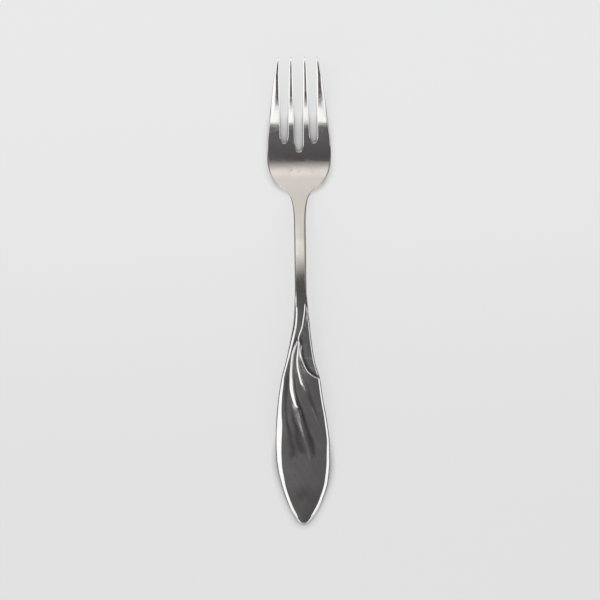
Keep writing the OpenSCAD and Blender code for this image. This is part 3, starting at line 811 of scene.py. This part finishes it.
def handle():
    """The leaf blade with its crown, its folds in relief and its two bevelled rims."""
    butt_rows = butt_y + butt_round * (1 - np.cos(np.linspace(0, math.pi / 2, BUTT_ROWS)))
    fold_y = butt_y + handle_len * fold_rows_share
    blade_rows = np.linspace(butt_y + butt_round, fold_y, BLADE_ROWS)
    fold_rows = np.delete(fine_rows(fold_y, neck_y, FOLD_STEP), 1)
    y = np.concatenate((butt_rows[:-1], blade_rows[:-1], fold_rows))
    left, right = -left_half(y), right_half(y)
    x = handle_columns(y, left, right)
    rows = y[:, None]
    u = (2 * x - (left + right)[:, None]) / (right - left)[:, None]
    crown = handle_crown * (butt_end(y, 0) * (1 - ease(y, rim_end_y, neck_y)))[:, None] * u * u
    # The relief, and the painted shade of the grooves with the darker spot
    relief, painted_shade_and_spots = handle_relief(x, y)
    z = (back_z(rows) + handle_t_at(rows) + relief - crown
         - side_fall(x - left[:, None], y, left_round(y), left_rim(y))
         - side_fall(right[:, None] - x, y, right_round(y), right_rim(y)))
    open_edge = np.ones_like(y)
    skin("handle_steel", "handle", rings(y, x, z, open_edge, open_edge, BACK_COLUMNS), painted_shade_and_spots)


# Neck and head

NECK_STEP = 0.4
NECK_COLUMNS = 20
HEAD_STEP = 0.2
HEAD_COLUMNS = 90
neck_drop = neck_round_w * round_drop_share
head_drop = head_round_w * round_drop_share
head_full_y = head_y + head_len / 2
# Length over which the slope of the head's outline is measured, to each side
SLOPE_STEP = 0.5
# Darker, slightly rougher spots on the palm: place across and along, half width, half length, darkness
PALM_SPOTS = ((-3.2, 49.3, 0.45, 0.35, 0.4), (-0.2, 48.6, 0.65, 0.4, 0.22))


def plain_skin(name, node, y, half, edge_w, drop, inner, crown=0.0, spots=()):
    """A skin that is alike on both sides: an even top with a rounded edge, a slight crown and darker spots.
    """
    x = across(-half, half, edge_w, edge_w, inner)
    rows, halves = y[:, None], half[:, None]
    edge_fall = fall(halves - np.abs(x), edge_w[:, None], drop[:, None], edge_slope_share)
    z = back_z(rows) + thickness(rows) - edge_fall
    z = z - np.broadcast_to(crown, y.shape)[:, None] * (x / halves) ** 2
    # Darker spots on the top, kept in the same layer as the painted shade
    painted_shade_and_spots = np.zeros_like(x)
    for spot_x, spot_y, spot_w, spot_len, darkness in spots:
        painted_shade_and_spots += darkness * bell(np.hypot((x - spot_x) / spot_w, (rows - spot_y) / spot_len), 1)
    open_edge = np.ones_like(y)
    skin(name, node, rings(y, x, z, open_edge, open_edge, inner), painted_shade_and_spots)


def neck():
    """The slim arched stem, with its crown fading towards the handle and the head."""
    y = fine_rows(neck_y, head_y, NECK_STEP)
    one = np.ones_like(y)
    from_handle = ease(y, neck_y, neck_y + neck_crown_len)
    from_head = 1 - ease(y, head_y - neck_crown_len, head_y)
    plain_skin("neck_steel", "neck", y, neck_half * one, neck_round_w * one, neck_drop * one, NECK_COLUMNS,
               crown=neck_crown * from_handle * from_head)


def head_edge_w(y):
    """Width across of the head's rounded edge, which is even when measured square to its outline."""
    slope = (head_half(y + SLOPE_STEP) - head_half(y - SLOPE_STEP)) / (2 * SLOPE_STEP)
    width = np.hypot(1, slope) * blend(neck_round_w, head_round_w, y, head_y, head_full_y)
    return np.minimum(head_half(y) * round_limit_share, width)


def head():
    """The shoulders and the palm, up to where the tines part."""
    y = fine_rows(head_y, parting_y, HEAD_STEP)
    drop = blend(neck_drop, head_drop, y, head_y, head_full_y)
    plain_skin("head_steel", "head", y, head_half(y), head_edge_w(y), drop, HEAD_COLUMNS, spots=PALM_SPOTS)


# Tines

# Rows under the closed end of a slot, round it, along the tine and over its tip
UNDER_ROWS = 6
SLOT_END_ROWS = 22
TINE_ROWS = 70
TIP_ROWS = 16
TINE_COLUMNS = 10
under_start_share = 0.1

blade_y = SIDE.end_y + slot_end_len
tip_start_y = tip_y - tip_round
ground_start_y = blade_y + tine_len * ground_start_share
ground_full_y = blade_y + tine_len * ground_full_share


def tip_end(y, smallest):
    return rounded(smallest, (tip_y - y) / tip_round)


def slot_rows(slot):
    under = slot.end_y - head_round_w * np.linspace(1, under_start_share, UNDER_ROWS)
    closing = slot.end_y + slot_end_len * (1 - np.cos(np.linspace(0, math.pi / 2, SLOT_END_ROWS)))
    return np.concatenate((under, closing))


def tine_rows():
    """Rows of a tine, the same for all four, without those that lie too close to the next."""
    tip_rows = tip_start_y + tip_round * np.sin(np.linspace(0, math.pi / 2, TIP_ROWS))
    y = np.unique(np.concatenate(([parting_y, parting_y + SEAM], slot_rows(MIDDLE), slot_rows(SIDE),
                                  np.linspace(blade_y, tip_start_y, TINE_ROWS), tip_rows)))
    return np.append(y[:-1][np.diff(y) > SEAM / 2], y[-1])


def tine(node):
    """A tine with its root round the closed ends of the slots, ground to bevels and to a tip."""
    edge_a, edge_b = TINES[node]
    y = tine_rows()
    a, b = edge_x(edge_a, y), edge_x(edge_b, y)
    trim = (1 - tip_end(y, tip_blunt_share)) * (b - a) / 2
    left, right = a + trim, b - trim
    thick = thickness(y) * tip_end(y, tip_t_share)

    def ground(head_value, tine_value):
        """From the small rounding round the closed ends of the slots to the bevels of the tines."""
        return blend(head_value, tine_value, y, ground_start_y, ground_full_y)

    width = right - left
    slot_w = np.minimum(width / 2 * tine_limit_share, ground(head_round_w, tine_bevel_w))
    outer_w = ground(slot_w, np.maximum(slot_w, width - slot_w - tine_flat_w))
    left_w = outer_w if edge_a[1] is OUTLINE else slot_w
    right_w = outer_w if edge_b[1] is OUTLINE else slot_w
    x = across(left, right, left_w, right_w, TINE_COLUMNS)
    rows = y[:, None]
    out = np.abs(x)
    slots = np.minimum(slot_gap(MIDDLE, out, rows), slot_gap(SIDE, out, rows)) - trim[:, None]
    outline = tines_half(rows) - out - trim[:, None]
    bevels = ((slots, slot_w, slot_slope_share), (outline, outer_w, outer_slope_share))
    z = back_z(rows) + thick[:, None]
    for gap, bevel_w, slope_share in bevels:
        drop = np.minimum(thick * drop_limit_share, bevel_w * ground(round_drop_share, tine_bevel_slope))
        z = z - fall(gap, bevel_w[:, None], drop[:, None], ground(edge_slope_share, slope_share)[:, None])
    skin(node + "_steel", node, rings(y, x, z, edge_open(edge_a, y), edge_open(edge_b, y), TINE_COLUMNS))


handle()
neck()
head()
for tine_name in TINES:
    tine(tine_name)

# Floor, light and camera

# Painted falloff of light: the table top's colour is darker towards the butt and lighter towards the tips
TABLE_PAINTED_DIM_END = (0.755, 0.755, 0.76, 1)
TABLE_PAINTED_BRIGHT_END = (0.81, 0.81, 0.815, 1)
BACKDROP = (0.78, 0.78, 0.785, 1)
# Half the side of the table top, and how far it lies under the rests to keep clear of them, in metres
TABLE_HALF = 3.0
TABLE_DROP = 0.00002
# How much of the table top's tone is its own glow, and how a painted shadow darkens that glow where the steel
# is
# nearer than this, in metres: most under the fork, and less beside the head, from and to these shares of the
# head's width
PALE_SHARE = 0.75
PAINTED_SHADOW_REACH = 0.0032
PAINTED_SHADOW_DEPTH = 1.4
PAINTED_SHADOW_DEPTH_BESIDE = 0.25
BESIDE_SHARES = (0.36, 0.46)


def table_material():
    """Matt pale top, painted a little darker near the butt as a falloff of light, with a painted shadow where
    the steel is near it.
    """
    material = bpy.data.materials.new("pale table top")
    material.use_nodes = True
    tree = material.node_tree
    shader = tree.nodes["Principled BSDF"]
    place = wire(tree, "ShaderNodeTexCoord")["Object"]
    x, y, _ = wire(tree, "ShaderNodeSeparateXYZ", {0: place})
    colour = mix_colour(tree, remap(tree, y, butt_y * MM, tip_y * MM, 0.0, 1.0), TABLE_PAINTED_DIM_END, TABLE_PAINTED_BRIGHT_END)
    tree.links.new(colour, shader.inputs["Base Color"])
    shader.inputs["Roughness"].default_value = 1.0
    shader.inputs["Specular IOR Level"].default_value = 0.0
    inner, outer = [share * head_w * MM for share in BESIDE_SHARES]
    aside = remap(tree, maths(tree, "ABSOLUTE", x), inner, outer, 0.0, 1.0)
    beside_head = maths(tree, "MULTIPLY", aside, remap(tree, y, head_y * MM, palm_y * MM, 0.0, 1.0))
    depth = remap(tree, beside_head, 0.0, 1.0, PAINTED_SHADOW_DEPTH, PAINTED_SHADOW_DEPTH_BESIDE, "LINEAR")
    # Painted shadow: the table top's own glow is darkened by ambient occlusion where the steel is near
    near = wire(tree, "ShaderNodeAmbientOcclusion", {"Distance": PAINTED_SHADOW_REACH}, samples=8)["AO"]
    painted_shadow = maths(tree, "POWER", near, depth)
    pale = wire(tree, "ShaderNodeEmission", {"Color": colour, "Strength": painted_shadow})[0]
    rays = wire(tree, "ShaderNodeLightPath")
    seen = maths(tree, "MAXIMUM", rays["Is Camera Ray"], rays["Is Glossy Ray"])
    own = maths(tree, "MULTIPLY", seen, PALE_SHARE)
    surface = wire(tree, "ShaderNodeMixShader", {0: own, 1: shader.outputs[0], 2: pale})[0]
    tree.links.new(surface, tree.nodes["Material Output"].inputs["Surface"])
    return material


def table_top():
    mesh = bpy.data.meshes.new("table top")
    corners = [(x * TABLE_HALF, y * TABLE_HALF, -TABLE_DROP) for x, y in ((-1, -1), (1, -1), (1, 1), (-1, 1))]
    mesh.from_pydata(corners, [], [(0, 1, 2, 3)])
    mesh.materials.append(table_material())
    top = bpy.data.objects.new("table top", mesh)
    bpy.context.scene.collection.objects.link(top)


# The room that the steel reflects. Angles are in degrees from straight up: along the fork, less than 0
# towards the butt, and across it, less than 0 to the left.
# Light along the fork: a strip window beyond the butt, a dark ceiling, and a warm wall beyond the tines
LIGHT_ALONG = (
    (-90, 0.08), (-47, 0.08), (-45.5, 0.12), (-43.5, 1.4), (-33, 1.5), (-31.3, 0.32), (-29.5, 0.22),
    (-27, 0.165), (-24, 0.15), (-20, 0.147), (-14, 0.152), (-10, 0.136), (0, 0.117), (6, 0.1), (10.9, 0.11),
    (11.7, 0.34), (13, 0.42), (15.5, 0.56), (18, 0.86), (21, 1.1), (26, 1.1), (30, 0.91), (34, 0.97),
    (40, 0.9), (60, 0.6), (90, 0.5))
# Tints along the fork, and where each starts. The ceiling's passes into the warm wall's between two angles
WINDOW = (1, 1, 1)
WINDOW_EDGE = (1.0, 0.985, 0.93)
WINDOW_EDGE_START = -34
CEILING = (1.05, 0.985, 1.03)
CEILING_START = -31
WARM_WALL = (1.06, 1.0, 0.94)
WARMING = (-5, 15)
# Tints from left to right of the ceiling and of the far wall, and between which angles they change
CEILING_TINTS = ((1.15, 1.15, 1.15, 1), (0.88, 0.87, 0.88, 1))
CEILING_TURN = (-9, 8)
FAR_WALL_TINTS = ((1.08, 1.08, 1.08, 1), (0.86, 0.86, 0.87, 1))
FAR_WALL_TURN = (-9, 9)
FAR_WALL_START = (3, 9)
# Dim sides of the far wall and windows to the left and right: colour, and the angles along and across
# between which each comes in
DIM_SIDE = (0.42, 0.41, 0.4, 1)
PANELS = (
    (DIM_SIDE, (4, 10), (-38, -48)),
    (DIM_SIDE, (4, 10), (14, 24)),
    ((1.5, 1.5, 1.5, 1), (5, -2), (-17, -26)),
    ((1.45, 1.45, 1.45, 1), (-5.5, -8.5), (30, 38)))
# Low down the room is dim, except on the side of the butt, and near the floor it is dimmer still. Each
# level ends between two heights in degrees, and the butt's side between two values of a ray's y
LOW_LEVEL = 0.2
LOW_HEIGHTS = (22, 38)
BUTT_SIDE = (-0.5, -0.36)
FLOOR_LEVEL = 0.5
FLOOR_HEIGHTS = (10, 22)
# The light of the table top: from low down, and from overhead, in a cone between two heights
LOW_LIGHT = 0.4
OVERHEAD_LIGHT = 1.2
CONE_Z = (0.55, 0.92)


def tint_along(angle):
    """Tint of the light that comes from an angle along the fork."""
    if angle <= WINDOW_EDGE_START:
        return WINDOW
    if angle <= CEILING_START:
        return WINDOW_EDGE
    cool, warm = WARMING
    warmth = min(1.0, max(0.0, (angle - cool) / (warm - cool)))
    return [c + (w - c) * warmth for c, w in zip(CEILING, WARM_WALL)]


def studio():
    """The room that the steel reflects. The table top gets an even light instead."""
    world = bpy.data.worlds.new("studio")
    world.use_nodes = True
    bpy.context.scene.world = world
    tree = world.node_tree
    tree.nodes.clear()
    place = wire(tree, "ShaderNodeTexCoord")["Generated"]
    x, y, z = wire(tree, "ShaderNodeSeparateXYZ", {0: place})
    across_angle = maths(tree, "ARCTAN2", x, z)
    along_angle = maths(tree, "ARCTAN2", y, z)

    def part(angle, ends):
        """0 up to the first of two angles and 1 from the second."""
        return remap(tree, angle, math.radians(ends[0]), math.radians(ends[1]), 0.0, 1.0)

    def above(heights, low, high):
        """Passes from one value to another between two heights."""
        start, end = [math.sin(math.radians(height)) for height in heights]
        return remap(tree, z, start, end, low, high)

    share = remap(tree, along_angle, -math.pi / 2, math.pi / 2, 0.0, 1.0, "LINEAR")
    strip = wire(tree, "ShaderNodeValToRGB", {0: share})[0]
    stops = strip.node.color_ramp.elements
    while len(stops) < len(LIGHT_ALONG):
        stops.new(0.5)
    for stop, (angle, value) in zip(stops, LIGHT_ALONG):
        stop.position = (angle + 90) / 180
        stop.color = [value * c for c in tint_along(angle)] + [1]
    ceiling = mix_colour(tree, part(across_angle, CEILING_TURN), *CEILING_TINTS)
    far_wall = mix_colour(tree, part(across_angle, FAR_WALL_TURN), *FAR_WALL_TINTS)
    tint = mix_colour(tree, part(along_angle, FAR_WALL_START), ceiling, far_wall)
    colour = mix_colour(tree, 1.0, strip, tint, "MULTIPLY")
    for panel, along, across_it in PANELS:
        inside = maths(tree, "MULTIPLY", part(along_angle, along), part(across_angle, across_it))
        colour = mix_colour(tree, inside, colour, panel)
    off_butt_side = remap(tree, y, *BUTT_SIDE, 0.0, 1.0)
    low = maths(tree, "MULTIPLY", above(LOW_HEIGHTS, 1.0, 0.0), off_butt_side)
    level = maths(tree, "MULTIPLY", remap(tree, low, 0.0, 1.0, 1.0, LOW_LEVEL),
                  above(FLOOR_HEIGHTS, FLOOR_LEVEL, 1.0))
    room = wire(tree, "ShaderNodeBackground", {"Color": colour, "Strength": level})[0]
    overhead = remap(tree, z, *CONE_Z, LOW_LIGHT, OVERHEAD_LIGHT)
    even = wire(tree, "ShaderNodeBackground", {"Color": (1, 1, 1, 1), "Strength": overhead})[0]
    backdrop = wire(tree, "ShaderNodeBackground", {"Color": BACKDROP, "Strength": 1.0})[0]
    rays = wire(tree, "ShaderNodeLightPath")
    light = wire(tree, "ShaderNodeMixShader", {0: rays["Is Diffuse Ray"], 1: room, 2: even})[0]
    seen = wire(tree, "ShaderNodeMixShader", {0: rays["Is Camera Ray"], 1: light, 2: backdrop})[0]
    wire(tree, "ShaderNodeOutputWorld", {"Surface": seen})


# The lamp's place and size in metres, and its power in watts
LAMP_PLACE = (-0.30, 0.22, 1.1)
LAMP_SIZE = 0.6
LAMP_POWER = 3.0


def lamp():
    """A square soft lamp over the left, which casts the fork's shadow and which the steel doesn't reflect."""
    data = bpy.data.lights.new("lamp over the left", "AREA")
    data.size = LAMP_SIZE
    data.energy = LAMP_POWER
    soft = bpy.data.objects.new("lamp over the left", data)
    soft.location = LAMP_PLACE
    soft.rotation_euler = (-Vector(LAMP_PLACE)).to_track_quat("-Z", "Y").to_euler()
    soft.visible_glossy = False
    bpy.context.scene.collection.objects.link(soft)


# The photograph's width in pixels, the size of a pixel, the place in its middle, how far the fork leans to
# the left in it, and how high the camera stands, in millimetres
PHOTO_PIXELS = 600
PIXEL = 0.4073
PHOTO_W = PHOTO_PIXELS * PIXEL
AIM = (-0.35, -3.67)
LEAN = math.radians(0.75)
CAMERA_HEIGHT = 6000.0
SENSOR_W = 36.0


def camera():
    """A long lens straight above, as in the photograph."""
    data = bpy.data.cameras.new("camera")
    data.sensor_width = SENSOR_W
    data.lens = SENSOR_W * CAMERA_HEIGHT / PHOTO_W
    eye = bpy.data.objects.new("camera", data)
    eye.location = (AIM[0] * MM, AIM[1] * MM, CAMERA_HEIGHT * MM)
    eye.rotation_euler = (0, 0, -LEAN)
    bpy.context.scene.collection.objects.link(eye)
    bpy.context.scene.camera = eye


table_top()
studio()
lamp()
camera()
bpy.context.scene.view_settings.view_transform = "Standard"
